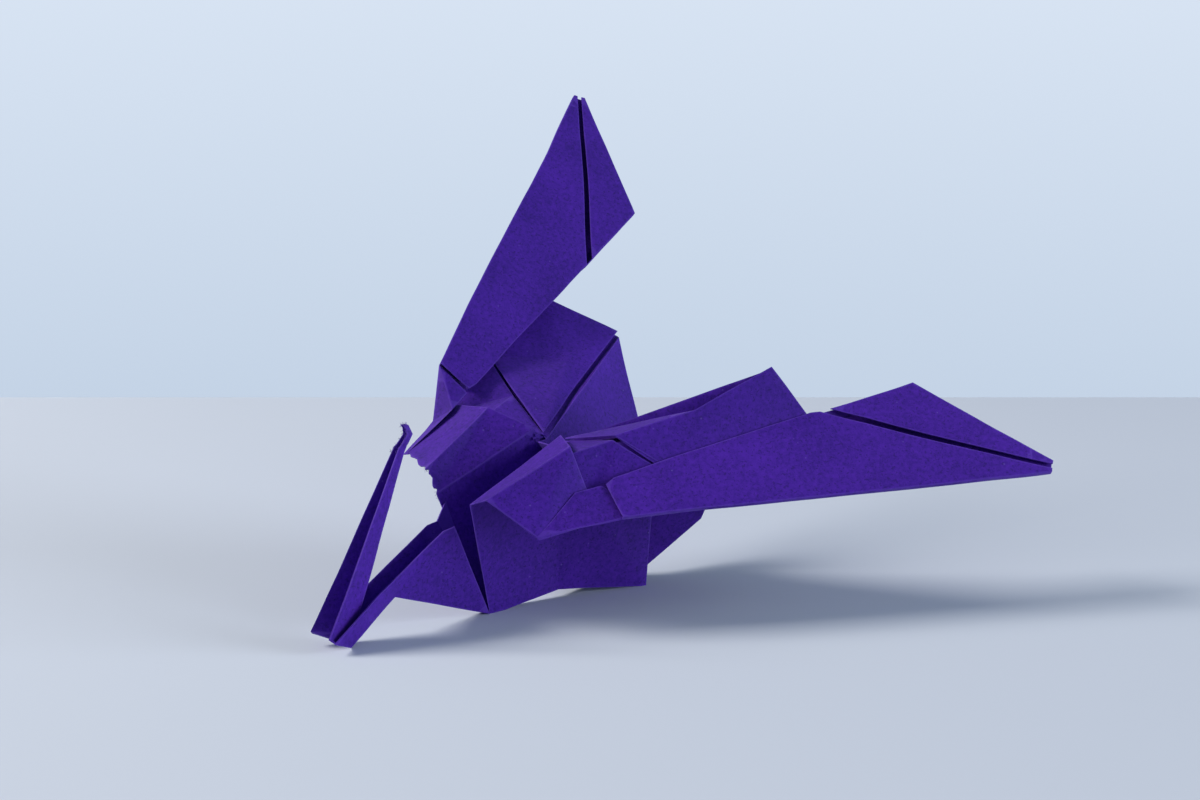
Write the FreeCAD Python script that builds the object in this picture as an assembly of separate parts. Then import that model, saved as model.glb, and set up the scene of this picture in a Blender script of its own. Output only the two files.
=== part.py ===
# Origami dragon: one thin folded sheet.  Millimetres, +Z up, +X from the head towards the tail,
# origin on the floor below the middle of the keel's flat foot.  Each flat facet of the sheet is
# listed by its corners, and the paper gets its thickness on both sides of that folded surface.
import math
import os

import FreeCAD
import Part
from FreeCAD import Vector

# alias, value, what it is.  Headings turn from the +X axis outwards, rises from level upwards.
DIMENSIONS = [
    ("paper_thickness", 0.3, "thickness of the coloured paper"),
    ("fold_gap", 1.0, "spacing of two layers that lie on each other"),

    ("keel_front_half", 1.2, "half width of the keel at the front corner"),
    ("keel_foot", 5.0, "length of the keel's flat foot behind the front corner"),
    ("keel_length", 45.0, "floor length of the body"),
    ("keel_crease_at", 21.0, "distance of the side crease from the front corner"),
    ("keel_crease_rise", 2.2, "how far the keel arches off the floor at the side crease"),
    ("keel_back_half", 6.0, "half width of the body on the floor at the back"),
    ("front_height", 30.0, "height of the front top corner"),
    ("front_lean", 9.5, "how far the front top corner stands ahead of the keel"),
    ("front_half", 7.0, "half width between the front top corners"),
    ("groove_x", 19.0, "place of the point where the top folds meet"),
    ("groove_half", 4.3, "half width of the groove at that point"),
    ("groove_height", 41.5, "height of that point"),
    ("side_back_x", 46.5, "place of the side panel's back top corner"),
    ("side_back_half", 7.4, "half width at the side panel's back top corner"),
    ("side_back_height", 24.0, "height of the side panel's back top corner"),

    ("lip_length", 55.5, "length of the pocket lip from the groove point"),
    ("lip_heading", 29.5, "heading of the pocket lip"),
    ("lip_rise", 17.0, "rise of the pocket lip"),
    ("tail_x", 61.5, "place of the back panel's low corner"),
    ("tail_half", 8.2, "half width at the back panel's low corner"),
    ("tail_height", 15.5, "height of the back panel's low corner"),

    ("ridge_back_length", 16.5, "groove point to the crease corner of the ridge"),
    ("ridge_front_length", 13.5, "groove point to the front flap's back corner"),
    ("flap_front_length", 6.5, "front top corner to the front flap's ridge"),
    ("slope_length", 11.0, "front flap's back corner to the wing root"),
    ("flap_edge_length", 15.0, "front edge of the front flap's slope"),
    ("flap_overlap", 1.5, "how far the front flap covers the panel behind it"),

    ("slit_length", 59.0, "slit in the top of the wing"),
    ("tip_half_angle", 22.5, "angle between the slit and either wing edge"),
    ("slit_angle", 35.0, "angle between the slit and the root line"),
    ("root_length", 60.0, "wing root from its front end to the slit"),
    ("lead_length", 110.0, "leading edge of the wing"),
    ("root_crease_at", 18.0, "distance of the slope's crease along the root"),
    ("slit_width", 2.0, "width of the open slit"),
    ("tip_width", 3.0, "width of the blunt wing tip"),
    ("pleat_tuck", 3.0, "how far the slopes reach in behind the wing's root edge"),
    ("gore_bend_at", 6.5, "distance of the gore's bend from the front end of the root"),
    ("flap_end_at", 3.5, "distance of the front flap's back edge from the front end of the root"),

    ("near_ridge_back_heading", 72.0, "near side: heading from the groove point to the ridge's crease"),
    ("near_ridge_back_rise", 10.0, "near side: rise of that line"),
    ("near_ridge_front_heading", 115.5, "near side: heading from the groove point to the front flap"),
    ("near_ridge_front_rise", 1.0, "near side: rise of that line"),
    ("near_ridge_sag", 2.5, "near side: how far the back ridge sags at its middle"),
    ("near_lip_sag", 6.0, "near side: how far the lip dips into its pocket"),
    ("near_flap_front_heading", 87.5, "near side: heading of the flap strip's front edge"),
    ("near_flap_front_rise", 22.0, "near side: rise of that edge"),
    ("near_slope_heading", 56.5, "near side: heading of the flap slope's back edge"),
    ("near_slope_rise", -45.5, "near side: rise of that edge"),
    ("near_flap_edge_heading", 46.5, "near side: heading of the flap slope's front edge"),
    ("near_flap_edge_rise", -36.0, "near side: rise of that edge"),
    ("near_root_heading", 15.0, "near wing: heading of its root edge"),
    ("near_root_rise", 11.5, "near wing: rise of its root edge"),
    ("near_wing_lift", -43.5, "near wing: how far it is turned up about the root edge"),
    ("near_corner_gap", 2.5, "near wing: from the slopes' back end to the slit, along the root"),
    ("near_pleat_open", 0.3, "near wing: how far its root pleat stands open at the back"),
    ("near_gore_dip", 0.4, "near wing: dip of the gore's lower edge"),

    ("far_ridge_back_heading", 77.5, "far side: as for the near side"),
    ("far_ridge_back_rise", 28.0, "far side"), ("far_ridge_front_heading", 132.5, "far side"),
    ("far_ridge_front_rise", 22.0, "far side"), ("far_ridge_sag", 0.3, "far side"),
    ("far_lip_sag", 1.5, "far side"), ("far_flap_front_heading", 112.0, "far side"),
    ("far_flap_front_rise", 60.0, "far side"), ("far_slope_heading", 86.0, "far side"),
    ("far_slope_rise", 14.5, "far side"), ("far_flap_edge_heading", 75.5, "far side"),
    ("far_flap_edge_rise", 3.0, "far side"), ("far_root_heading", 19.0, "raised far wing"),
    ("far_root_rise", 24.5, "raised far wing"), ("far_wing_lift", 44.0, "raised far wing"),
    ("far_corner_gap", 12.0, "raised far wing"), ("far_pleat_open", 7.0, "raised far wing"),
    ("far_gore_dip", 4.0, "raised far wing"),

    ("torn_teeth", 9, "bites along each torn edge"),
    ("torn_depth", 1.2, "deepest bite of the torn edge"),

    ("neck_half", 1.6, "half width of the neck's channel at its spine"),
    ("neck_open_half", 3.4, "half width of the neck's channel at its open edge"),
    ("neck_root_x", -11.5, "place of the neck's root at its open edge"),
    ("neck_root_z", 24.2, "height of that root"),
    ("neck_crest_x", -14.8, "place of the top of the neck's open edge"),
    ("neck_crest_z", 23.6, "height of that top"),
    ("neck_end_x", -32.6, "place of the neck's front end at its open edge"),
    ("neck_end_z", 11.8, "height of that end"),
    ("neck_bend_x", -27.5, "place where the neck's spine bends into the chin"),
    ("neck_bend_z", 9.5, "height of that bend"),
    ("chin_front_x", -46.2, "place of the chin's front corner"),
    ("chin_front_z", 2.7, "height of that corner"),
    ("chin_back_x", -40.4, "place of the edge that the chin stands on"),
    ("chin_back_z", 0.1, "height of that edge above the keel"),
    ("chin_half", 2.6, "half width of that edge"),
    ("horn_front_x", -47.2, "place of the horn's foot at its open edge"),
    ("horn_front_z", 3.6, "height of the foot there"),
    ("horn_back_x", -39.5, "place of the horn's foot at its spine"),
    ("horn_back_z", 2.0, "height of the foot there"),
    ("horn_open_half", 4.1, "half width of the horn's channel at its open edge"),
    ("horn_tip_x", -22.0, "place of the horn's tip"),
    ("horn_tip_z", 50.5, "height of the horn's tip"),
    ("horn_tip_width", 1.2, "width of the blunt horn tip"),
]

doc = FreeCAD.newDocument("OrigamiDragon")
sheet = doc.addObject("Spreadsheet::Sheet", "Dimensions")
for row, (alias, value, note) in enumerate(DIMENSIONS, start=1):
    sheet.set("A%d" % row, str(value))
    sheet.setAlias("A%d" % row, alias)
    sheet.set("B%d" % row, note)
doc.recompute()


def size(alias):
    return float(sheet.get(alias))


def ray(length, heading, rise, side):
    """A step of a given length along a heading and a rise, outwards on one side of the body."""
    heading, rise = math.radians(heading), math.radians(rise)
    return Vector(length * math.cos(rise) * math.cos(heading),
                  side * length * math.cos(rise) * math.sin(heading),
                  length * math.sin(rise))


def half_corners(name, side):
    """The corners of the folded surface on one side of the body, as {name: point}."""
    step = lambda fold, length: ray(size(length), size("%s_%s_heading" % (name, fold)),
                                    size("%s_%s_rise" % (name, fold)), side)
    gap = size("fold_gap")
    at = {}

    # side panel and the two ends of the groove edge
    at["keel_front"] = Vector(0, side * size("keel_front_half"), 0)
    at["keel_foot"] = Vector(size("keel_foot"), side * size("keel_front_half"), 0)
    at["keel_crease"] = Vector(size("keel_crease_at"), side * size("keel_front_half"),
                               size("keel_crease_rise"))
    at["keel_back"] = Vector(size("keel_length"), side * size("keel_back_half"), 0)
    at["front_top"] = Vector(-size("front_lean"), side * size("front_half"), size("front_height"))
    groove = Vector(size("groove_x"), side * size("groove_half"), size("groove_height"))
    at["groove_outer"] = groove + Vector(0, side * gap, gap)
    at["shoulder"] = at["groove_outer"] + (at["keel_crease"] - at["groove_outer"]) * 0.09
    at["side_back"] = Vector(size("side_back_x"), side * size("side_back_half"), size("side_back_height"))

    # pocket: the open lip lies outside the back panel's top edge
    lip_end = groove + ray(size("lip_length"), size("lip_heading"), size("lip_rise"), side)
    at["groove_inner"] = groove + Vector(2, 0, -0.2) * gap
    at["lip_end"] = lip_end
    across = Vector(-math.sin(math.radians(size("lip_heading"))),
                    side * math.cos(math.radians(size("lip_heading"))), 0)
    at["panel_front"] = groove + Vector(2, -side, -1.8) * gap
    at["panel_fore"] = groove + Vector(-1, -1.7 * side, -1.8) * gap
    at["panel_end"] = lip_end - (across + (lip_end - groove).normalize() * 1.5) * gap - Vector(0, 0, gap)
    at["lip_middle"] = (groove + lip_end) * 0.5 + across * gap - Vector(0, 0, size(name + "_lip_sag"))
    at["lip_under"] = lip_end - Vector(0, 0, 1.4 * gap)
    at["pocket_middle"] = at["lip_middle"] - Vector(0, 0, 1.5 * gap)
    at["tail_low"] = Vector(size("tail_x"), side * size("tail_half"), size("tail_height"))

    # ridge and slopes
    at["ridge_back"] = groove + step("ridge_back", "ridge_back_length")
    ridge_front = groove + step("ridge_front", "ridge_front_length")
    at["ridge_front"] = ridge_front + Vector(0, 0, gap)
    at["flap_front"] = at["front_top"] + step("flap_front", "flap_front_length")
    root = ridge_front + step("slope", "slope_length")
    at["flap_low"] = at["flap_front"] + step("flap_edge", "flap_edge_length")

    # wing plane: along the root line, outwards across it, and its upper side
    heading, rise = size(name + "_root_heading"), size(name + "_root_rise")
    lift = math.radians(size(name + "_wing_lift"))
    along = ray(1, heading, rise, side)
    level = ray(1, heading + 90, 0, side)
    upper = along.cross(level) * side
    out = level * math.cos(lift) + upper * math.sin(lift)
    up = along.cross(out) * side
    lower = lambda x, y: root + along * x + out * y
    top = lambda x, y: lower(x, y) + up * gap

    tip_angle, slit_angle = math.radians(size("tip_half_angle")), math.radians(size("slit_angle"))
    slit, root_length = size("slit_length"), size("root_length")
    corner = slit * math.sin(tip_angle) / math.sin(math.pi - tip_angle - slit_angle)
    tip_x, tip_y = root_length + slit * math.cos(slit_angle), slit * math.sin(slit_angle)
    lead_turn = math.pi + slit_angle - tip_angle
    lead_x = tip_x + size("lead_length") * math.cos(lead_turn)
    lead_y = tip_y + size("lead_length") * math.sin(lead_turn)
    cross_x, cross_y = -math.sin(slit_angle), math.cos(slit_angle)     # across the slit, to the front
    half_tip, half_slit = size("tip_width") / 2, size("slit_width") / 2

    closed = (at["flap_low"] - root).Length                 # the pleat is closed at the flap's low corner
    opening = size(name + "_pleat_open") / (root_length + closed)
    tuck = size("pleat_tuck")
    behind = lambda x, y, layers: top(x, y) - up * (layers * gap + opening * (x + closed))
    slope_end = root_length - size(name + "_corner_gap")

    at["root_low"] = lower(0, 0)
    at["root_notch"] = behind(0.3 * size("root_crease_at"), tuck + 4 * gap, 1.6)
    at["middle_valley"] = behind(size("root_crease_at") - 1.2 * gap, tuck, 1.3)
    at["crease_valley"] = behind(size("root_crease_at"), tuck, 1.3)
    at["slope_valley"] = behind(slope_end, tuck, 1.3)
    for key in ("crease", "slope"):
        at[key + "_low"] = at[key + "_valley"] - Vector(0, 0, 1.7 * gap)
    at["slit_low"] = lower(root_length, 0)
    at["corner_low"] = lower(root_length + corner, 0)
    at["tip_back_low"] = lower(tip_x - cross_x * half_tip, tip_y - cross_y * half_tip)
    at["tip_front_low"] = lower(tip_x + cross_x * half_tip, tip_y + cross_y * half_tip)
    at["lead_low"] = lower(lead_x, lead_y)

    at["root_top"] = lower(gap, 0.4 * gap) + up * gap * 0.7
    at["slope_front"] = top(3.5 * gap, 0)
    at["crease_top"] = top(size("root_crease_at"), 0)
    at["slope_top"] = top(slope_end, 0)
    at["slit_front_top"] = top(root_length, 0)
    at["slit_back_top"] = top(root_length + half_slit * 3, 0)
    at["corner_top"] = top(root_length + corner, 0)
    at["tip_back_top"] = top(tip_x - cross_x * half_tip, tip_y - cross_y * half_tip)
    at["tip_front_top"] = top(tip_x + cross_x * half_tip, tip_y + cross_y * half_tip)
    at["tip_slit_back"] = top(tip_x - cross_x * half_slit * 0.6, tip_y - cross_y * half_slit * 0.6)
    at["tip_slit_front"] = top(tip_x + cross_x * half_slit * 0.6, tip_y + cross_y * half_slit * 0.6)
    at["lead_top"] = top(lead_x, lead_y)

    # gore between the front flap and the wing, and the middle slope's foot below them
    at["gore_bend"] = lower(-size("gore_bend_at"), 0)
    at["flap_valley"] = behind(-size("flap_end_at"), gap, 2.1)
    at["valley_front"] = at["flap_valley"] - along * gap - up * 0.9 * gap - Vector(0, 0, 1.3 * gap)
    at["valley_start"] = behind(2.5 * gap, 0.8 * tuck, 1.6) - Vector(0, 0, gap)
    at["gore_edge"] = ((at["lead_low"] + at["flap_low"]) * 0.5
                       + (root - at["lead_low"]).normalize() * size(name + "_gore_dip"))

    # ridges: the front layer ends below the back one's edge, and the hidden layer follows both
    backward = (at["ridge_back"] - ridge_front).normalize()
    at["ridge_under"] = ridge_front - backward * size("flap_overlap") - Vector(0, 0, 0.8 * gap)
    at["ridge_tuck"] = at["ridge_back"] - (backward * 0.5 + Vector(0, 0, 1)) * gap
    at["groove_tuck"] = groove + Vector(2.1, -0.2 * side, -1) * gap
    at["ridge_middle"] = ((at["ridge_back"] + lip_end) * 0.5
                          - Vector(0, 0, size(name + "_ridge_sag")))
    at["ridge_low"] = at["ridge_back"] - Vector(0, 0, 2 * gap)
    at["ridge_low_middle"] = at["ridge_middle"] - Vector(0, 0, 2 * gap)

    # neck, chin and horn: a channel whose spine runs from the keel to the horn's tip
    half, open_half = size("neck_half"), size("neck_open_half")
    at["neck_root"] = Vector(size("neck_root_x"), side * open_half, size("neck_root_z"))
    at["neck_crest"] = Vector(size("neck_crest_x"), side * open_half, size("neck_crest_z"))
    at["neck_end"] = Vector(size("neck_end_x"), side * open_half, size("neck_end_z"))
    at["neck_bend"] = Vector(size("neck_bend_x"), side * half, size("neck_bend_z"))
    at["chin_front"] = Vector(size("chin_front_x"), side * (size("horn_open_half") + gap),
                              size("chin_front_z"))
    at["chin_back"] = Vector(size("chin_back_x"), side * size("chin_half"), size("chin_back_z"))
    at["horn_front"] = Vector(size("horn_front_x"), side * size("horn_open_half"), size("horn_front_z"))
    at["horn_back"] = Vector(size("horn_back_x"), side * (size("chin_half") - gap), size("horn_back_z"))
    tip_half = size("horn_tip_width") / 2
    at["horn_tip_back"] = Vector(size("horn_tip_x") + tip_half, side * tip_half, size("horn_tip_z"))
    at["horn_tip_front"] = Vector(size("horn_tip_x") - tip_half, side * tip_half, size("horn_tip_z"))
    return at


# facets of one side, each a loop of corners that starts with the corner its triangles share
HALF_FACETS = [
    ("shoulder", "groove_outer", "front_top", "keel_front", "keel_foot", "keel_crease"),
    ("shoulder", "keel_crease", "keel_back", "side_back"),                      # side panel, back
    ("ridge_front", "flap_front", "front_top", "groove_outer"),                 # flap's strip
    ("ridge_front", "flap_valley", "flap_low", "flap_front"),                   # flap's slope
    ("flap_valley", "gore_bend", "flap_low"),                                   # its turned edge
    ("gore_bend", "root_low", "lead_low"), ("gore_bend", "lead_low", "gore_edge", "flap_low"),
    ("lead_low", "root_low", "root_notch", "crease_low", "slope_low"),          # wing, lower layer
    ("slope_low", "slit_low", "corner_low", "tip_back_low", "tip_front_low", "lead_low"),
    ("lead_low", "tip_front_low", "tip_front_top", "lead_top"),                 # leading fold
    ("lead_top", "slope_top", "crease_top", "slope_front", "root_top"),         # wing, top layer
    ("slope_top", "lead_top", "tip_front_top", "tip_slit_front", "slit_front_top"),
    ("corner_low", "corner_top", "tip_back_top", "tip_back_low"),               # trailing fold
    ("corner_top", "slit_back_top", "tip_slit_back", "tip_back_top"),           # wing, corner triangle
    ("slope_front", "crease_top", "crease_valley", "middle_valley", "valley_start"),  # pleat's inner layer
    ("crease_top", "slope_top", "slope_valley", "crease_valley"),
    ("ridge_middle", "ridge_back", "crease_valley", "slope_valley", "lip_end"),  # back slope
    ("ridge_tuck", "ridge_under", "valley_front", "valley_start", "middle_valley"),   # middle slope
    ("ridge_tuck", "groove_tuck", "ridge_under"),                               # strips above the slopes
    ("ridge_middle", "lip_end", "lip_middle", "groove_inner", "ridge_back"),
    ("ridge_low_middle", "ridge_low", "crease_low", "slope_low", "lip_under"),  # hidden layer
    ("pocket_middle", "ridge_low", "panel_front", "panel_end", "lip_under",
     "ridge_low_middle", "ridge_low"),                                          # pocket's floor
    ("panel_front", "panel_fore", "spine_low", "tail_low", "panel_end"),        # back panel
    ("neck_bend", "keel_front", "neck_root", "neck_crest", "neck_end"),         # neck
    ("chin_back", "neck_bend", "neck_end", "chin_front"),                       # chin
    ("chin_back", "chin_front", "horn_front", "horn_back"),                     # fold on the floor
    ("horn_back", "horn_front", "horn_tip_front", "horn_tip_back"),             # horn
]
# facets that join the two sides, given by their corners on one side in order
JOINING_STRIPS = ["keel_crease", "keel_foot", "keel_front", "neck_bend", "chin_back", "horn_back",
                  "horn_tip_back"]


def torn_points(start, end, inwards):
    """Points of a torn edge between two corners, each pushed in by its own share of the depth."""
    count, depth = int(size("torn_teeth")), size("torn_depth")
    points = []
    for i in range(1, count):
        bite = 0.5 + 0.5 * math.sin(2.4 * i * i)
        points.append(start + (end - start) * (i / count) + (inwards - start).normalize() * depth * bite)
    return points


def folded_surface():
    """Corner points and triangles of the whole folded sheet, both sides joined."""
    points, index, triangles = [], {}, []

    def add(key, point):
        index[key] = len(points)
        points.append(point)

    def add_facet(loop):
        for second, third in zip(loop[1:], loop[2:]):
            triangles.append([loop[0], second, third])

    add("spine_low", Vector(size("keel_length"), 0, 1.0))
    for name, side in (("near", -1), ("far", 1)):
        corners = half_corners(name, side)
        for key, point in corners.items():
            add((name, key), point)
        torn = {}
        if name == "far":
            for pair in (("flap_low", "flap_front"), ("flap_front", "front_top")):
                torn[pair] = []
                for point in torn_points(corners[pair[0]], corners[pair[1]], corners["ridge_front"]):
                    torn[pair].append(len(points))
                    points.append(point)
        for facet in HALF_FACETS:
            loop = []
            for key, following in zip(facet, facet[1:] + facet[:1]):
                loop.append(index["spine_low"] if key == "spine_low" else index[(name, key)])
                loop.extend(torn.get((key, following), []))
            add_facet(loop)
    for key, following in zip(JOINING_STRIPS, JOINING_STRIPS[1:]):
        add_facet([index[("near", key)], index[("near", following)],
                   index[("far", following)], index[("far", key)]])
    add_facet([index["spine_low"], index[("near", "panel_fore")], index[("far", "panel_fore")]])
    return points, triangles


def face_one_way(triangles):
    """Turn the triangles so that neighbours run along their shared edge in opposite ways."""
    owners = {}
    for number, triangle in enumerate(triangles):
        for a, b in zip(triangle, triangle[1:] + triangle[:1]):
            owners.setdefault(frozenset((a, b)), []).append(number)
    settled, waiting = {0}, [0]
    while waiting:
        current = waiting.pop()
        ways = set(zip(triangles[current], triangles[current][1:] + triangles[current][:1]))
        for a, b in list(ways):
            for other in owners[frozenset((a, b))]:
                if other in settled:
                    continue
                turned = triangles[other]
                if (a, b) in set(zip(turned, turned[1:] + turned[:1])):
                    triangles[other] = turned[::-1]
                settled.add(other)
                waiting.append(other)
    assert len(settled) == len(triangles), "the sheet is not in one piece"
    assert all(len(group) <= 2 for group in owners.values()), "three facets meet at one edge"
    return owners


def mitre(normals):
    """The offset that lies one unit outside every one of the planes, as nearly as it can."""
    rows = [Vector(0.02, 0, 0), Vector(0, 0.02, 0), Vector(0, 0, 0.02)]
    target = Vector(0, 0, 0)
    for n in normals:
        rows[0] += n * n.x
        rows[1] += n * n.y
        rows[2] += n * n.z
        target += n
    volume = rows[0].dot(rows[1].cross(rows[2]))
    return Vector(target.dot(rows[1].cross(rows[2])),
                  rows[0].dot(target.cross(rows[2])),
                  rows[0].dot(rows[1].cross(target))) * (1 / volume)


def thicken(points, triangles, thickness):
    """One closed solid: the folded surface moved out by half the thickness on each side."""
    owners = face_one_way(triangles)
    around = {}
    for triangle in triangles:
        a, b, c = (points[i] for i in triangle)
        normal = (b - a).cross(c - a).normalize()
        for i in triangle:
            if all(normal.dot(other) < 0.9999 for other in around.setdefault(i, [])):
                around[i].append(normal)
    offset = {i: mitre(normals) * (thickness / 2) for i, normals in around.items()}
    faces = []

    def add_face(*corners):
        faces.append(Part.Face(Part.makePolygon(list(corners) + [corners[0]])))

    for triangle in triangles:
        add_face(*[points[i] + offset[i] for i in triangle])
        add_face(*[points[i] - offset[i] for i in reversed(triangle)])
        for a, b in zip(triangle, triangle[1:] + triangle[:1]):
            if len(owners[frozenset((a, b))]) == 1:
                add_face(points[b] + offset[b], points[a] + offset[a], points[a] - offset[a])
                add_face(points[b] + offset[b], points[a] - offset[a], points[b] - offset[b])
    shell = Part.makeShell(faces)
    shell.sewShape()
    solid = Part.makeSolid(shell)
    return solid if solid.Volume > 0 else solid.reversed()


points, triangles = folded_surface()
paper = thicken(points, triangles, size("paper_thickness"))
paper.translate(Vector(-size("keel_foot") / 2, 0, -paper.BoundBox.ZMin))

dragon = doc.addObject("Part::Feature", "FoldedSheet")
dragon.Label = "folded_sheet"
dragon.Shape = paper
doc.recompute()

for item in doc.Objects:
    assert "Invalid" not in item.State and "Error" not in item.State, item.Label
assert not paper.isNull() and paper.isValid() and len(paper.Solids) == 1, "the sheet is not a solid"

os.makedirs("parts", exist_ok=True)
dragon.Shape.exportStep("parts/%s.step" % dragon.Label)
box = paper.BoundBox
print("folded sheet %.1f x %.1f x %.1f mm, %.0f mm3, centre %s" % (
    box.XLength, box.YLength, box.ZLength, paper.Volume, paper.CenterOfMass))
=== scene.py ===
import math

import bmesh
import bpy
import numpy as np
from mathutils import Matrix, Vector, noise


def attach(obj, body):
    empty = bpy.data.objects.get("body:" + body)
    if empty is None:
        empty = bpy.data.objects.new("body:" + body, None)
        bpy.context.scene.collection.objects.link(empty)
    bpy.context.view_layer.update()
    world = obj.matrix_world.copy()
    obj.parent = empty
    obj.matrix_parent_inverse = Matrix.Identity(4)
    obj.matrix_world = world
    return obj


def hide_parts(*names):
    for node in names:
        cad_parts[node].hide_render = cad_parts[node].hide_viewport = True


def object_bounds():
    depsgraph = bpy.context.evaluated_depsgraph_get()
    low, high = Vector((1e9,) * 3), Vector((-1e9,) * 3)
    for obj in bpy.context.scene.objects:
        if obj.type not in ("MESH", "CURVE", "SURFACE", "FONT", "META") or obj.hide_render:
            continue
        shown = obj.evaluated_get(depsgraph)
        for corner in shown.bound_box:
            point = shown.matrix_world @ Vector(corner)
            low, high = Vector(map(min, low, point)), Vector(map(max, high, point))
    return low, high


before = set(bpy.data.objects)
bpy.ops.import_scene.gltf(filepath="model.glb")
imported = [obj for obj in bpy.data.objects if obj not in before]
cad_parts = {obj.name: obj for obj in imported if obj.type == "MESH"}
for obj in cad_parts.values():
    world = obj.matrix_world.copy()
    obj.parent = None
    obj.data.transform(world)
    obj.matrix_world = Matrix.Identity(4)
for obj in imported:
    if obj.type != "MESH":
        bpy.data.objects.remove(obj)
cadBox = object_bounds()
print("frame loaded")

sheetValues = {                  # metres and degrees
    "mergeWithin": 0.00002,      # corners closer than this are one
    "facetAngle": 1.0,           # faces this flat to each other are one facet
    "foldAngle": 20.0,           # a sharper turn is a pressed fold, a weaker one only a soft bend
    "foldRound": 0.00010,        # the paper's rounding along folds and cut edges
    "shadeAngle": 24.0,          # sharper turns are shaded as edges
    "roundSteps": 2,
    "sliceStep": 0.0022,         # facets are cut this fine, so that they can bow
    "sliceShift": 0.000137,      # all the cuts are moved along by this
    "bowLength": 0.034,          # slow waves of the handled paper
    "bowDepth": 0.0006,
    "bowSeed": 7,
    "rippleLength": 0.010,       # small dents over the whole sheet
    "rippleDepth": 0.00013,
    "wearAndHighlightReach": 0.006,          # distances to a fold, for the line of crease wear and painted highlight, are kept up to here
    "rimWidth": 0.0005,          # faces narrower than this are the paper's cut edge
}


def cleanSheet(values):          # the folded sheet's own copy, in whole facets with rounded folds
    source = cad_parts["folded_sheet"].data
    bm = bmesh.new()
    bm.from_mesh(source)
    bmesh.ops.remove_doubles(bm, verts=bm.verts[:], dist=values["mergeWithin"])
    bmesh.ops.dissolve_limit(bm, angle_limit=math.radians(values["facetAngle"]),
                             verts=bm.verts[:], edges=bm.edges[:])
    rim = bm.faces.layers.int.new("rim")
    for face in bm.faces:
        longest = max(edge.calc_length() for edge in face.edges)
        face[rim] = 2 * face.calc_area() / longest < values["rimWidth"]
    bm.edges.index_update()
    sharp = [edge.index for edge in bm.edges
             if edge.is_manifold and edge.calc_face_angle() > math.radians(values["foldAngle"])]
    rounded = bm.faces.layers.int.new("rounded")
    bm.edges.ensure_lookup_table()
    folds = [bm.edges[i] for i in sharp]
    made = bmesh.ops.bevel(bm, geom=folds, offset=values["foldRound"], offset_type="OFFSET",
                           segments=values["roundSteps"], profile=0.5, affect="EDGES",
                           clamp_overlap=True)
    for face in made["faces"]:
        face[rounded] = 1
    return bm


def sliceSheet(bm, values):      # cuts across all three axes, with no change of shape
    low, high = cadBox
    step = values["sliceStep"]
    for axis in range(3):
        normal = Vector((0, 0, 0))
        normal[axis] = 1
        for i in range(1, int((high[axis] - low[axis]) / step) + 1):
            place = Vector(low)
            place[axis] += i * step + values["sliceShift"]
            bmesh.ops.bisect_plane(bm, geom=bm.verts[:] + bm.edges[:] + bm.faces[:], dist=1e-7,
                                   plane_co=place, plane_no=normal)


def measureFolds(bm, values):    # each facet corner's distance to the convex folds round its own facet, which carry the line of crease wear and painted highlight
    rounded = bm.faces.layers.int["rounded"]
    distance = bm.loops.layers.float.new("foldDistance")
    bm.faces.index_update()
    for face in bm.faces:
        for loop in face.loops:
            loop[distance] = 0.0 if face[rounded] else values["wearAndHighlightReach"]
    seen = set()
    for start in bm.faces:
        if start.index in seen or start[rounded]:
            continue
        region, waiting = [], [start]
        seen.add(start.index)
        while waiting:
            face = waiting.pop()
            region.append(face)
            for edge in face.edges:
                for other in edge.link_faces:
                    if other.index not in seen and not other[rounded]:
                        seen.add(other.index)
                        waiting.append(other)
        ends = []
        for face in region:
            for loop in face.loops:
                for other in loop.edge.link_faces:
                    if other[rounded] and loop.edge.is_convex:
                        ends.append((loop.edge.verts[0].co, loop.edge.verts[1].co))
        if not ends:
            continue
        first = np.array([tuple(a) for a, b in ends])
        along = np.array([tuple(b) for a, b in ends]) - first
        length = np.maximum((along ** 2).sum(1), 1e-14)
        for face in region:
            for loop in face.loops:
                offset = np.array(loop.vert.co) - first
                share = np.clip((offset * along).sum(1) / length, 0, 1)
                away = np.sqrt(((offset - along * share[:, None]) ** 2).sum(1).min())
                loop[distance] = min(float(away), values["wearAndHighlightReach"])


def bowSheet(bm, values):        # the slow waves and small dents of handled paper
    noise.seed_set(values["bowSeed"])
    for vert in bm.verts:
        place = vert.co.copy()
        vert.co += noise.noise_vector(place / values["bowLength"]) * values["bowDepth"]
        vert.co += noise.noise_vector(place / values["rippleLength"]) * values["rippleDepth"]


hornValues = {
    "bendFrom": 0.0455,          # height where the horn's end starts to curl
    "bendOver": 0.0055,          # length of the curl
    "bulge": 0.0010,             # how far it swings back
    "hook": 0.0016,              # how far its last end hooks forward
    "swingTowards": (0.8, -0.6),
    "behind": -0.012,            # the horn stands ahead of this place
}


def curlHorn(bm, values):        # the horn's torn end swings back and hooks forward
    for vert in bm.verts:
        if vert.co.x > values["behind"] or vert.co.z < values["bendFrom"]:
            continue
        share = (vert.co.z - values["bendFrom"]) / values["bendOver"]
        swing = math.sin(math.pi * min(share, 1.0)) * values["bulge"] - share ** 4 * values["hook"]
        vert.co.x += swing * values["swingTowards"][0]
        vert.co.y += swing * values["swingTowards"][1]


def shadeFolds(bm, values):
    for face in bm.faces:
        face.smooth = True
    for edge in bm.edges:
        edge.smooth = not (edge.is_manifold
                           and edge.calc_face_angle() > math.radians(values["shadeAngle"]))


bm = cleanSheet(sheetValues)
print("facets", len(bm.faces))
sliceSheet(bm, sheetValues)
print("sliced", len(bm.faces))
measureFolds(bm, sheetValues)
shadeFolds(bm, sheetValues)
bowSheet(bm, sheetValues)
curlHorn(bm, hornValues)

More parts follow.
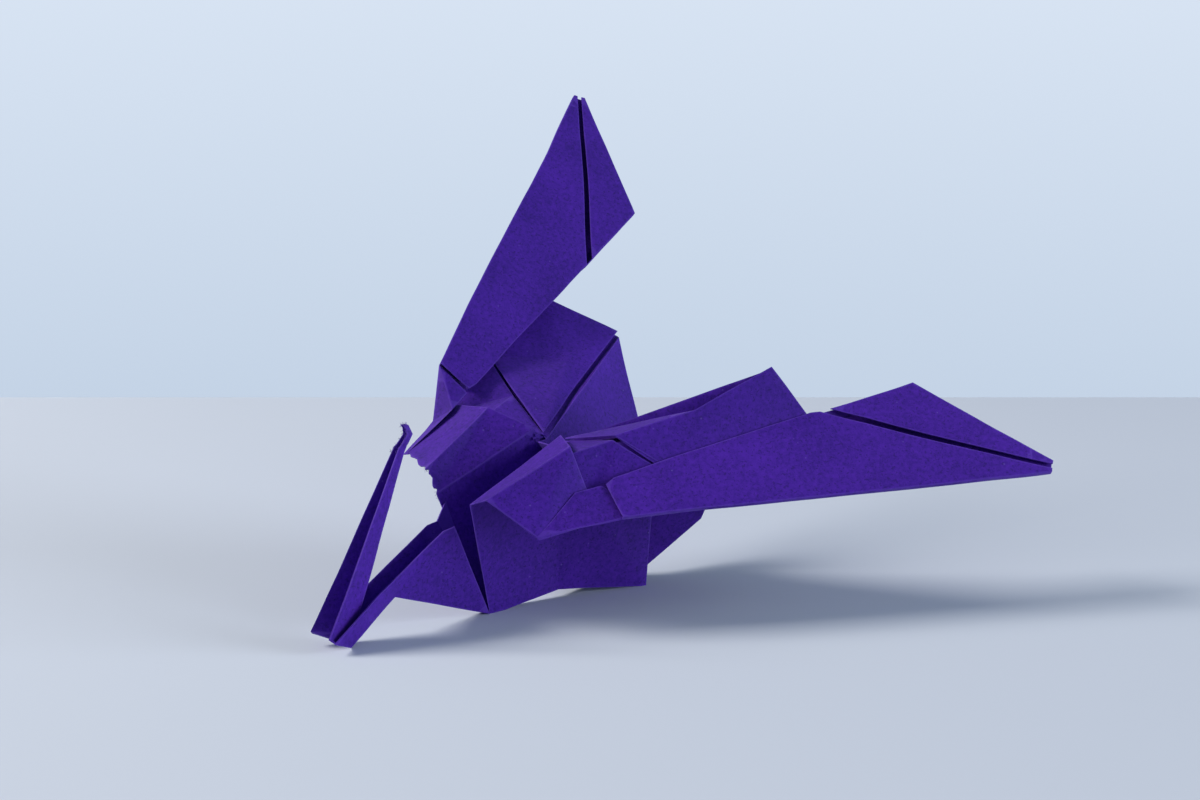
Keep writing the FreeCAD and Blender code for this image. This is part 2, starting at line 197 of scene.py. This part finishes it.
tornValues = {
    "flapFrom": (-0.030, 0.0055, 0.0290),    # the torn edge of the raised side's front flap
    "flapTo": (-0.005, 0.0265, 0.0390),
    "hornFrom": (-0.030, -0.0040, 0.0440),   # the torn end of the horn
    "hornTo": (-0.018, 0.0040, 0.0530),
    "hairDensity": 2.2e7,        # hairs per square metre of torn edge
    "hairLength": 0.0008,
    "hairRadius": 0.000035,
    "hairBend": ((0, 0, -0.1), (0.1, 0, 0.6), (0.55, 0.15, 0.9)),    # in hair lengths
    "hairLean": (0.9, 0.9, 3.1),             # most turn about each axis, in radians
    "hairGrowth": (0.25, 1.0),               # a hair's least and most share of its full size
    "seed": 5,
}


def tornRim(bm, values):         # the cut edge's faces where the paper was torn
    rim = bm.faces.layers.int["rim"]
    boxes = [(Vector(values["flapFrom"]), Vector(values["flapTo"])),
             (Vector(values["hornFrom"]), Vector(values["hornTo"]))]
    corners, faces = [], []
    for face in bm.faces:
        middle = face.calc_center_median()
        inside = any(all(low[i] < middle[i] < high[i] for i in range(3)) for low, high in boxes)
        if not face[rim] or not inside:
            continue
        faces.append(list(range(len(corners), len(corners) + len(face.verts))))
        corners.extend(tuple(vert.co) for vert in face.verts)
    mesh = bpy.data.meshes.new("tornRim")
    mesh.from_pydata(corners, [], faces)
    return mesh


rimMesh = tornRim(bm, tornValues)
print("torn rim", len(rimMesh.polygons))
sheetMesh = bpy.data.meshes.new("foldedPaper")
bm.to_mesh(sheetMesh)
bm.free()
foldedPaper = bpy.data.objects.new("foldedPaper", sheetMesh)
bpy.context.scene.collection.objects.link(foldedPaper)
print("folded paper made")

innerValues = {                  # hidden turns of the sheet inside the body, in metres
    "thickness": 0.0003,
    "neck": [(-0.0160, 0.0034, 0.0221), (-0.0098, 0.0066, 0.0282), (-0.0072, 0.0052, 0.0187)],
    "pocket": [(0.0160, 0.0049, 0.0416), (0.0165, 0.0050, 0.0370), (0.0240, 0.0058, 0.0370),
               (0.0215, 0.0056, 0.0405)],
    "wingRoot": [(0.0078, 0.0270, 0.0498), (0.0101, 0.0252, 0.0498), (0.0091, 0.0267, 0.0529)],
    "pleat": [(0.0182, 0.0295, 0.0521), (0.0254, 0.0295, 0.0521), (0.0218, 0.0045, 0.0403),
              (0.0153, 0.0045, 0.0403)],
}


def innerTurns(values):          # each turn is one small piece of the sheet's thickness
    bm = bmesh.new()
    for name in ("neck", "pocket", "wingRoot", "pleat"):
        corners = [Vector(place) for place in values[name]]
        across = (corners[1] - corners[0]).cross(corners[2] - corners[0]).normalized()
        half = across * values["thickness"] / 2
        front = [bm.verts.new(place + half) for place in corners]
        back = [bm.verts.new(place - half) for place in corners]
        bm.faces.new(front)
        bm.faces.new(back[::-1])
        for i in range(len(corners)):
            j = (i + 1) % len(corners)
            bm.faces.new([front[j], front[i], back[i], back[j]])
    bmesh.ops.recalc_face_normals(bm, faces=bm.faces[:])
    mesh = bpy.data.meshes.new("innerTurns")
    bm.to_mesh(mesh)
    bm.free()
    return mesh


innerMesh = innerTurns(innerValues)
innerPaper = bpy.data.objects.new("innerTurns", innerMesh)
bpy.context.scene.collection.objects.link(innerPaper)
print("inner turns made")

paperValues = {
    "deepColor": (0.034, 0.0040, 0.215, 1),
    "fairColor": (0.069, 0.0105, 0.350, 1),
    "speckColor": (0.018, 0.002, 0.115, 1),
    "dustColor": (0.200, 0.130, 0.520, 1),
    # a light line along folds: partly crease wear, partly a painted highlight where the rounded fold
    # would catch the light
    "creaseWearAndHighlightColor": (0.115, 0.045, 0.440, 1),
    "tornColor": (0.120, 0.050, 0.400, 1),
    "speckShare": 0.55,
    "dustShare": 0.30,
    # strength and width of that line of crease wear and painted highlight
    "creaseWearAndHighlightShare": 0.45,
    "creaseWearAndHighlightWidth": 0.00042,
    "roughness": 0.62,
    "specular": 0.18,
    "sheen": 0.06,
    "sheenRoughness": 0.5,
    "grainStrength": 0.35,
    "grainDepth": 0.00006,
    "tornMottle": 2200.0,
    "tornSpeck": 4000.0,
    "tornStrength": 0.6,
    "tornDepth": 0.00010,
}


def newGroup(name, inputs, outputs):
    group = bpy.data.node_groups.new(name, "ShaderNodeTree")
    for label, kind, value in inputs:
        socket = group.interface.new_socket(label, in_out="INPUT", socket_type=kind)
        if value is not None:
            socket.default_value = value
    for label, kind in outputs:
        group.interface.new_socket(label, in_out="OUTPUT", socket_type=kind)
    return group, group.nodes.new("NodeGroupInput"), group.nodes.new("NodeGroupOutput")


def addNode(tree, kind, settings=None, **inputs):    # inputs by name, or by place as i0, i1
    node = tree.nodes.new(kind)
    for key, value in (settings or {}).items():
        setattr(node, key, value)
    for key, value in inputs.items():
        socket = node.inputs[int(key[1:])] if key[0] == "i" and key[1:].isdigit() else node.inputs[key]
        if isinstance(value, bpy.types.NodeSocket):
            tree.links.new(value, socket)
        else:
            socket.default_value = value
    return node


grainValues = {
    "cloudSize": 70.0,           # scales of the patterns, per metre
    "mottleSize": 900.0,
    "speckSize": 1500.0,
    "dustSize": 420.0,
    "fineSize": 2600.0,
    "cloudDetail": 3.0,
    "mottleDetail": 4.0,
    "mottleRough": 0.65,
    "speckDetail": 1.0,
    "fineDetail": 2.0,
    "cloudShare": 0.45,
    "fineShare": 0.6,
    "toneRange": (0.3, 0.7),
    "speckRange": (0.60, 0.68),
    "dustChosen": 0.86,          # cells above this hold a grain of dust
    "dustRange": (0.05, 0.13),
}


def paperGrain(values):          # mottled pulp, dark specks and pale dust
    group, given, result = newGroup("paperGrain", [
        ("Vector", "NodeSocketVector", None),
        ("Mottle Size", "NodeSocketFloat", values["mottleSize"]),
        ("Speck Size", "NodeSocketFloat", values["speckSize"]),
        ("Dust Size", "NodeSocketFloat", values["dustSize"])],
        [("Tone", "NodeSocketFloat"), ("Speck", "NodeSocketFloat"), ("Dust", "NodeSocketFloat"),
         ("Height", "NodeSocketFloat")])
    place = given.outputs["Vector"]
    cloud = addNode(group, "ShaderNodeTexNoise", None, Vector=place,
                    Scale=values["cloudSize"], Detail=values["cloudDetail"])
    mottle = addNode(group, "ShaderNodeTexNoise", None, Vector=place,
                     Scale=given.outputs["Mottle Size"], Detail=values["mottleDetail"],
                     Roughness=values["mottleRough"])
    mix = addNode(group, "ShaderNodeMath", {"operation": "MULTIPLY_ADD"}, i0=cloud.outputs["Fac"],
                  i1=values["cloudShare"], i2=-values["cloudShare"] / 2)
    tone = addNode(group, "ShaderNodeMath", {"operation": "ADD"}, i0=mottle.outputs["Fac"],
                   i1=mix.outputs[0])
    spread = addNode(group, "ShaderNodeMapRange", None, Value=tone.outputs[0],
                     i1=values["toneRange"][0], i2=values["toneRange"][1])
    speckle = addNode(group, "ShaderNodeTexNoise", None, Vector=place,
                      Scale=given.outputs["Speck Size"], Detail=values["speckDetail"])
    speck = addNode(group, "ShaderNodeMapRange", None, Value=speckle.outputs["Fac"],
                    i1=values["speckRange"][0], i2=values["speckRange"][1])
    cells = addNode(group, "ShaderNodeTexVoronoi", None, Vector=place, Scale=given.outputs["Dust Size"])
    shade = addNode(group, "ShaderNodeSeparateColor", None, Color=cells.outputs["Color"])
    chosen = addNode(group, "ShaderNodeMath", {"operation": "GREATER_THAN"}, i0=shade.outputs[0],
                     i1=values["dustChosen"])
    dot = addNode(group, "ShaderNodeMapRange", None, Value=cells.outputs["Distance"],
                  i1=values["dustRange"][0], i2=values["dustRange"][1], i3=1.0, i4=0.0)
    dust = addNode(group, "ShaderNodeMath", {"operation": "MULTIPLY"}, i0=dot.outputs[0],
                   i1=chosen.outputs[0])
    fine = addNode(group, "ShaderNodeTexNoise", None, Vector=place,
                   Scale=values["fineSize"], Detail=values["fineDetail"])
    height = addNode(group, "ShaderNodeMath", {"operation": "MULTIPLY_ADD"}, i0=fine.outputs["Fac"],
                     i1=values["fineShare"], i2=mottle.outputs["Fac"])
    group.links.new(spread.outputs[0], result.inputs["Tone"])
    group.links.new(speck.outputs[0], result.inputs["Speck"])
    group.links.new(dust.outputs[0], result.inputs["Dust"])
    group.links.new(height.outputs[0], result.inputs["Height"])
    return group


# the line of crease wear and painted highlight along folds
wearAndHighlightValues = {
    "roughSize": 500.0,          # how finely the line breaks up, per metre
    "roughDetail": 3.0,
    "lineRange": (0.4, 1.6),     # it fades between these shares of its width
}


def foldWearAndHighlight(values):            # a broken light line along every fold: partly worn crease, partly a painted highlight of the rounded fold
    group, given, result = newGroup("foldWearAndHighlight", [
        ("Vector", "NodeSocketVector", None), ("Distance", "NodeSocketFloat", 1.0),
        ("Width", "NodeSocketFloat", 0.0006)],
        [("Mask", "NodeSocketFloat")])
    rough = addNode(group, "ShaderNodeTexNoise", None, Vector=given.outputs["Vector"],
                    Scale=values["roughSize"], Detail=values["roughDetail"])
    wide = addNode(group, "ShaderNodeMath", {"operation": "MULTIPLY"}, i0=rough.outputs["Fac"],
                   i1=given.outputs["Width"])
    share = addNode(group, "ShaderNodeMath", {"operation": "DIVIDE"}, i0=given.outputs["Distance"],
                    i1=wide.outputs[0])
    mask = addNode(group, "ShaderNodeMapRange", None, Value=share.outputs[0],
                   i1=values["lineRange"][0], i2=values["lineRange"][1], i3=1.0, i4=0.0)
    group.links.new(mask.outputs[0], result.inputs["Mask"])
    return group


grainGroup = paperGrain(grainValues)
wearAndHighlightGroup = foldWearAndHighlight(wearAndHighlightValues)


def placeGroup(tree, group, **inputs):
    node = tree.nodes.new("ShaderNodeGroup")
    node.node_tree = group
    for key, value in inputs.items():
        socket = node.inputs[key.replace("_", " ")]
        if isinstance(value, bpy.types.NodeSocket):
            tree.links.new(value, socket)
        else:
            socket.default_value = value
    return node


def blendColor(tree, share, under, over):
    mix = addNode(tree, "ShaderNodeMix", {"data_type": "RGBA"}, i6=under, i7=over)
    tree.links.new(share, mix.inputs["Factor"])
    return mix.outputs[2]


def scaled(tree, value, factor):
    return addNode(tree, "ShaderNodeMath", {"operation": "MULTIPLY"}, i0=value, i1=factor).outputs[0]


def newPaper(name, values):
    material = bpy.data.materials.new(name)
    material.use_nodes = True
    shader = material.node_tree.nodes["Principled BSDF"]
    shader.inputs["Roughness"].default_value = values["roughness"]
    shader.inputs["Specular IOR Level"].default_value = values["specular"]
    shader.inputs["Sheen Weight"].default_value = values["sheen"]
    shader.inputs["Sheen Roughness"].default_value = values["sheenRoughness"]
    return material, material.node_tree, shader


def raiseGrain(tree, shader, height, strength, depth):
    bump = addNode(tree, "ShaderNodeBump", None, Height=height, Strength=strength, Distance=depth)
    tree.links.new(bump.outputs[0], shader.inputs["Normal"])


def dyedPaper(values):
    material, tree, shader = newPaper("dyedPaper", values)
    place = addNode(tree, "ShaderNodeTexCoord").outputs["Object"]
    grain = placeGroup(tree, grainGroup, Vector=place)
    distance = addNode(tree, "ShaderNodeAttribute", {"attribute_name": "foldDistance"})
    wearAndHighlightLine = placeGroup(tree, wearAndHighlightGroup, Vector=place, Distance=distance.outputs["Fac"],
                      Width=values["creaseWearAndHighlightWidth"])
    color = blendColor(tree, grain.outputs["Tone"], values["deepColor"], values["fairColor"])
    for mask, share, over in (("Speck", values["speckShare"], values["speckColor"]),
                              ("Dust", values["dustShare"], values["dustColor"])):
        color = blendColor(tree, scaled(tree, grain.outputs[mask], share), color, over)
    # lighter along folds: crease wear, and a painted highlight of the rounded fold
    wearAndHighlightMix = scaled(tree, wearAndHighlightLine.outputs["Mask"], values["creaseWearAndHighlightShare"])
    color = blendColor(tree, wearAndHighlightMix, color, values["creaseWearAndHighlightColor"])
    tree.links.new(color, shader.inputs["Base Color"])
    raiseGrain(tree, shader, grain.outputs["Height"], values["grainStrength"], values["grainDepth"])
    return material


def tornPaper(values):           # the felted core that shows where the sheet was torn
    material, tree, shader = newPaper("tornPaper", values)
    place = addNode(tree, "ShaderNodeTexCoord").outputs["Object"]
    grain = placeGroup(tree, grainGroup, Vector=place, Mottle_Size=values["tornMottle"],
                       Speck_Size=values["tornSpeck"])
    color = blendColor(tree, grain.outputs["Tone"], values["deepColor"], values["tornColor"])
    tree.links.new(color, shader.inputs["Base Color"])
    raiseGrain(tree, shader, grain.outputs["Height"], values["tornStrength"], values["tornDepth"])
    return material


paperMaterial = dyedPaper(paperValues)
tornMaterial = tornPaper(paperValues)
sheetMesh.materials.append(paperMaterial)
innerMesh.materials.append(paperMaterial)
print("paper dyed")


def hairTree(values):            # short bent hairs that stand out of a torn edge
    tree = bpy.data.node_groups.new("tornHairs", "GeometryNodeTree")
    sockets = {}
    for label, kind in (("Geometry", "NodeSocketGeometry"), ("Density", "NodeSocketFloat"),
                        ("Hair Length", "NodeSocketFloat"), ("Hair Radius", "NodeSocketFloat"),
                        ("Seed", "NodeSocketInt"), ("Material", "NodeSocketMaterial")):
        sockets[label] = tree.interface.new_socket(label, in_out="INPUT", socket_type=kind).identifier
    tree.interface.new_socket("Geometry", in_out="OUTPUT", socket_type="NodeSocketGeometry")
    given, result = tree.nodes.new("NodeGroupInput"), tree.nodes.new("NodeGroupOutput")
    points = addNode(tree, "GeometryNodeDistributePointsOnFaces", {"distribute_method": "RANDOM"},
                     Mesh=given.outputs["Geometry"], Density=given.outputs["Density"],
                     Seed=given.outputs["Seed"])
    start, middle, end = values["hairBend"]
    bend = addNode(tree, "GeometryNodeCurveQuadraticBezier", None, Resolution=4, Start=start,
                   Middle=middle, End=end)
    sized = addNode(tree, "GeometryNodeTransform", None, Geometry=bend.outputs[0])
    size = addNode(tree, "ShaderNodeCombineXYZ", None, X=given.outputs["Hair Length"],
                   Y=given.outputs["Hair Length"], Z=given.outputs["Hair Length"])
    tree.links.new(size.outputs[0], sized.inputs["Scale"])
    ring = addNode(tree, "GeometryNodeCurvePrimitiveCircle", None, Resolution=3,
                   Radius=given.outputs["Hair Radius"])
    hair = addNode(tree, "GeometryNodeCurveToMesh", None, Curve=sized.outputs[0])
    tree.links.new(ring.outputs["Curve"], hair.inputs["Profile Curve"])
    hair.inputs["Fill Caps"].default_value = True
    most = values["hairLean"]
    lean = addNode(tree, "FunctionNodeRandomValue", {"data_type": "FLOAT_VECTOR"},
                   i0=tuple(-turn for turn in most), i1=most)
    tree.links.new(given.outputs["Seed"], lean.inputs["Seed"])
    leaned = addNode(tree, "FunctionNodeEulerToRotation", None, Euler=lean.outputs[0])
    turned = addNode(tree, "FunctionNodeRotateRotation", {"rotation_space": "LOCAL"},
                     i0=points.outputs["Rotation"], i1=leaned.outputs[0])
    grown = addNode(tree, "FunctionNodeRandomValue", {"data_type": "FLOAT"},
                    i2=values["hairGrowth"][0], i3=values["hairGrowth"][1])
    tree.links.new(given.outputs["Seed"], grown.inputs["Seed"])
    hairs = addNode(tree, "GeometryNodeInstanceOnPoints", None, Points=points.outputs["Points"],
                    Instance=hair.outputs[0], Rotation=turned.outputs[0])
    tree.links.new(grown.outputs[1], hairs.inputs["Scale"])
    real = addNode(tree, "GeometryNodeRealizeInstances", None, i0=hairs.outputs[0])
    dyed = addNode(tree, "GeometryNodeSetMaterial", None, Geometry=real.outputs[0],
                   Material=given.outputs["Material"])
    tree.links.new(dyed.outputs[0], result.inputs[0])
    return tree, sockets


def growHairs(rim, values):
    root = bpy.data.objects.new("tornRim", rim)
    bpy.context.scene.collection.objects.link(root)
    tree, sockets = hairTree(values)
    modifier = root.modifiers.new("hairs", "NODES")
    modifier.node_group = tree
    for label, value in (("Density", values["hairDensity"]), ("Hair Length", values["hairLength"]),
                         ("Hair Radius", values["hairRadius"]), ("Seed", values["seed"]),
                         ("Material", tornMaterial)):
        modifier[sockets[label]] = value
    live = root.evaluated_get(bpy.context.evaluated_depsgraph_get())
    grown = bpy.data.meshes.new_from_object(live)
    grown.name = "tornHairs"
    root.modifiers.remove(modifier)
    bpy.data.objects.remove(root)
    hairs = bpy.data.objects.new("tornHairs", grown)
    bpy.context.scene.collection.objects.link(hairs)
    return hairs


tornHairs = growHairs(rimMesh, tornValues)
print("torn hairs", len(tornHairs.data.polygons))

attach(foldedPaper, "root")
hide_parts("folded_sheet")
for piece in (innerPaper, tornHairs):
    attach(piece, "root")

stageValues = {
    "cameraPlace": (-0.2997, -0.4218, 0.1666),
    "cameraHeading": 38.24,      # degrees from +Y towards +X
    "cameraPitch": -12.39,
    "lens": 66.0,
    "sensor": 36.0,
    "sightRange": (0.01, 20.0),
    "lampTarget": (0.02, 0, 0.04),
    "tableReach": (0.9, 0.7),    # to the sides and towards the camera
    "tableBack": 0.246,          # its back edge, beyond the origin
    "tableColor": (0.58, 0.63, 0.70, 1),
    "tableRoughness": 0.95,
    "tableSpecular": 0.1,
}

heading = math.radians(stageValues["cameraHeading"])
pitch = math.radians(stageValues["cameraPitch"])
ahead = Vector((math.sin(heading), math.cos(heading), 0))
aside = Vector((math.cos(heading), -math.sin(heading), 0))
wide, near = stageValues["tableReach"]
far = stageValues["tableBack"]
tableCorners = [tuple(aside * x + ahead * y)
                for x, y in ((-wide, -near), (wide, -near), (wide, far), (-wide, far))]
tableMesh = bpy.data.meshes.new("table")
tableMesh.from_pydata(tableCorners, [], [(0, 1, 2, 3)])
table = bpy.data.objects.new("table", tableMesh)
bpy.context.scene.collection.objects.link(table)
tableMaterial = bpy.data.materials.new("paleTable")
tableMaterial.use_nodes = True
tableShader = tableMaterial.node_tree.nodes["Principled BSDF"]
tableShader.inputs["Base Color"].default_value = stageValues["tableColor"]
tableShader.inputs["Roughness"].default_value = stageValues["tableRoughness"]
tableShader.inputs["Specular IOR Level"].default_value = stageValues["tableSpecular"]
tableMesh.materials.append(tableMaterial)

lightValues = {                  # metres aside, ahead and up, then size, watts and colour
    "window": ((-1.44, 0.04, 1.12), 0.7, 37.0, (1.0, 0.95, 0.90)),
    "sideWall": ((1.53, -0.30, 0.42), 0.8, 19.0, (0.84, 0.89, 1.0)),
}
for name, ((right, beyond, height), width, watts, color) in lightValues.items():
    lamp = bpy.data.lights.new(name, "AREA")
    lamp.size, lamp.energy, lamp.color = width, watts, color
    holder = bpy.data.objects.new(name, lamp)
    holder.location = aside * right + ahead * beyond + Vector((0, 0, height))
    toward = Vector(stageValues["lampTarget"]) - holder.location
    holder.rotation_euler = toward.to_track_quat("-Z", "Y").to_euler()
    bpy.context.scene.collection.objects.link(holder)

roomValues = {
    "lowWall": (0.545, 0.645, 0.785, 1),
    "highWall": (0.720, 0.805, 0.925, 1),
    "wallClimb": (-0.22, 0.02),  # the wall grows paler as the line of sight rises from one to the other
    "fillColor": (0.58, 0.74, 1.0, 1),
    "fillStrength": 0.27,
}


def paleRoom(values):            # the wall behind the table, and the dimmer light that fills the shadows
    world = bpy.data.worlds.new("paleRoom")
    world.use_nodes = True
    tree = world.node_tree
    seen = tree.nodes["Background"]
    toward = addNode(tree, "ShaderNodeTexCoord").outputs["Generated"]
    parts = addNode(tree, "ShaderNodeSeparateXYZ", None, Vector=toward)
    climb = addNode(tree, "ShaderNodeMapRange", None, Value=parts.outputs["Z"],
                    i1=values["wallClimb"][0], i2=values["wallClimb"][1])
    wall = blendColor(tree, climb.outputs[0], values["lowWall"], values["highWall"])
    tree.links.new(wall, seen.inputs["Color"])
    fill = addNode(tree, "ShaderNodeBackground", None, Color=values["fillColor"],
                   Strength=values["fillStrength"])
    path = addNode(tree, "ShaderNodeLightPath")
    either = addNode(tree, "ShaderNodeMixShader", None, i0=path.outputs["Is Camera Ray"],
                     i1=fill.outputs[0], i2=seen.outputs[0])
    tree.links.new(either.outputs[0], tree.nodes["World Output"].inputs["Surface"])
    return world


bpy.context.scene.world = paleRoom(roomValues)
bpy.context.scene.view_settings.view_transform = "Standard"

eye = bpy.data.cameras.new("eye")
eye.lens, eye.sensor_width = stageValues["lens"], stageValues["sensor"]
eye.clip_start, eye.clip_end = stageValues["sightRange"]
camera = bpy.data.objects.new("eye", eye)
camera.location = stageValues["cameraPlace"]
look = Vector((ahead.x * math.cos(pitch), ahead.y * math.cos(pitch), math.sin(pitch)))
camera.rotation_mode = "QUATERNION"
camera.rotation_quaternion = look.to_track_quat("-Z", "Y")
bpy.context.scene.collection.objects.link(camera)
bpy.context.scene.camera = camera
print("stage set")
